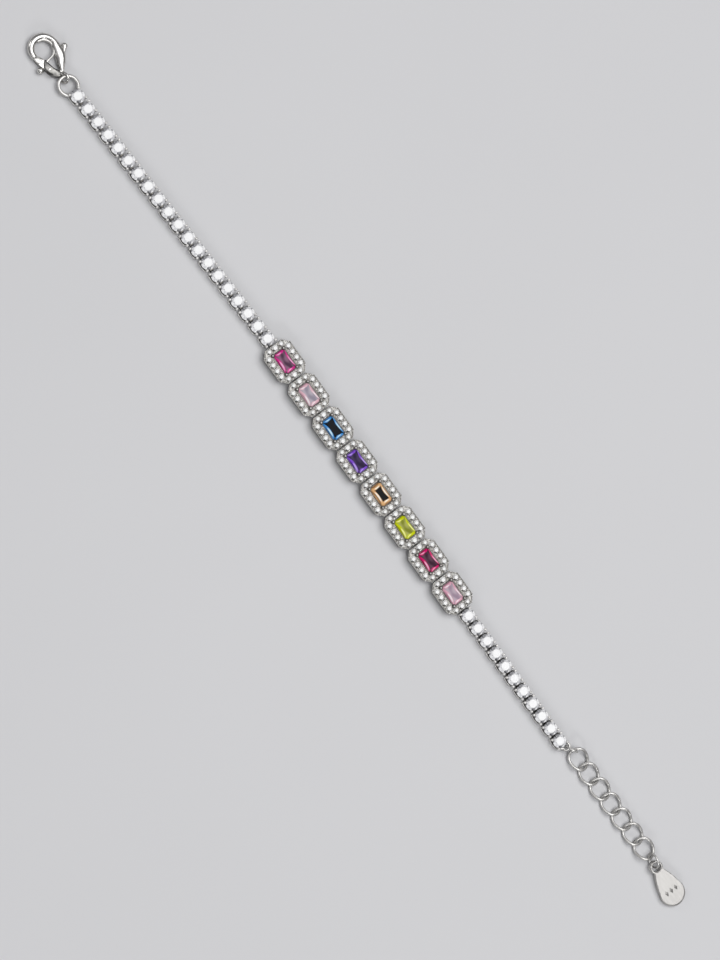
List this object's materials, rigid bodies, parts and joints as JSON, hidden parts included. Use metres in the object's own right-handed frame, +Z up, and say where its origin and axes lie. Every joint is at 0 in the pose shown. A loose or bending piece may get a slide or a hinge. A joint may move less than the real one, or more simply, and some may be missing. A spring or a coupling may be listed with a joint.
{
  "type": "tennis bracelet",
  "caption": "Silver tennis bracelet with round and halo-set emerald-cut stones, lobster clasp, extension chain and teardrop drop, lying open.",
  "frame": {"origin": "centre of the whole length and width, on the surface the bracelet lies on", "axes": "+X along the bracelet from the clasp to the drop, +Z up out of the surface"},
  "size_m": [0.2054, 0.0086, 0.0033],
  "materials": {
    "clear_stone": "cut and polished",
    "silver": "polished silver",
    "drop_silver": "satin silver",
    "hot_pink_stone": "cut and polished",
    "pale_pink_stone": "cut and polished",
    "sky_blue_stone": "cut and polished",
    "violet_stone": "cut and polished",
    "champagne_stone": "cut and polished",
    "lime_stone": "cut and polished",
    "raspberry_stone": "cut and polished",
    "blush_stone": "cut and polished"
  },
  "bodies": {
    "bracelet": {"tennis_link_01": "silver", "tennis_link_02": "silver", "tennis_link_03": "silver", "tennis_link_04": "silver", "tennis_link_05": "silver", "tennis_link_06": "silver", "tennis_link_07": "silver", "tennis_link_08": "silver", "tennis_link_09": "silver", "tennis_link_10": "silver", "tennis_link_11": "silver", "tennis_link_12": "silver", "tennis_link_13": "silver", "tennis_link_14": "silver", "tennis_link_15": "silver", "tennis_link_16": "silver", "tennis_link_17": "silver", "tennis_link_18": "silver", "tennis_link_19": "silver", "tennis_link_20": "silver", "tennis_link_21": "silver", "tennis_link_22": "silver", "tennis_link_23": "silver", "tennis_link_24": "silver", "tennis_link_25": "silver", "tennis_link_26": "silver", "tennis_link_27": "silver", "tennis_link_28": "silver", "tennis_link_29": "silver", "tennis_link_30": "silver", "tennis_link_31": "silver", "halo_setting_1": "silver", "halo_setting_2": "silver", "halo_setting_3": "silver", "halo_setting_4": "silver", "halo_setting_5": "silver", "halo_setting_6": "silver", "halo_setting_7": "silver", "halo_setting_8": "silver", "centre_stone_1": "hot_pink_stone", "centre_stone_2": "pale_pink_stone", "centre_stone_3": "sky_blue_stone", "centre_stone_4": "violet_stone", "centre_stone_5": "champagne_stone", "centre_stone_6": "lime_stone", "centre_stone_7": "raspberry_stone", "centre_stone_8": "blush_stone", "chain_ring_1": "silver", "chain_ring_2": "silver", "chain_ring_3": "silver", "chain_ring_4": "silver", "chain_ring_5": "silver", "chain_ring_6": "silver", "chain_ring_7": "silver", "neck_ring": "silver", "drop_ring": "silver", "drop_tag": "drop_silver", "clasp_body": "silver"},
    "lever": {"clasp_lever": "silver"}
  },
  "joints": [
    {"name": "clasp_lever_hinge", "type": "hinge", "parent": "bracelet", "child": "lever", "pos_m": [-0.09618, -0.00214, 0.0008], "axis": [0, 0, -1], "range_deg": [0, 20], "stiffness_Nm_per_rad": 0.0002, "springref_deg": -5.73}
  ]
}
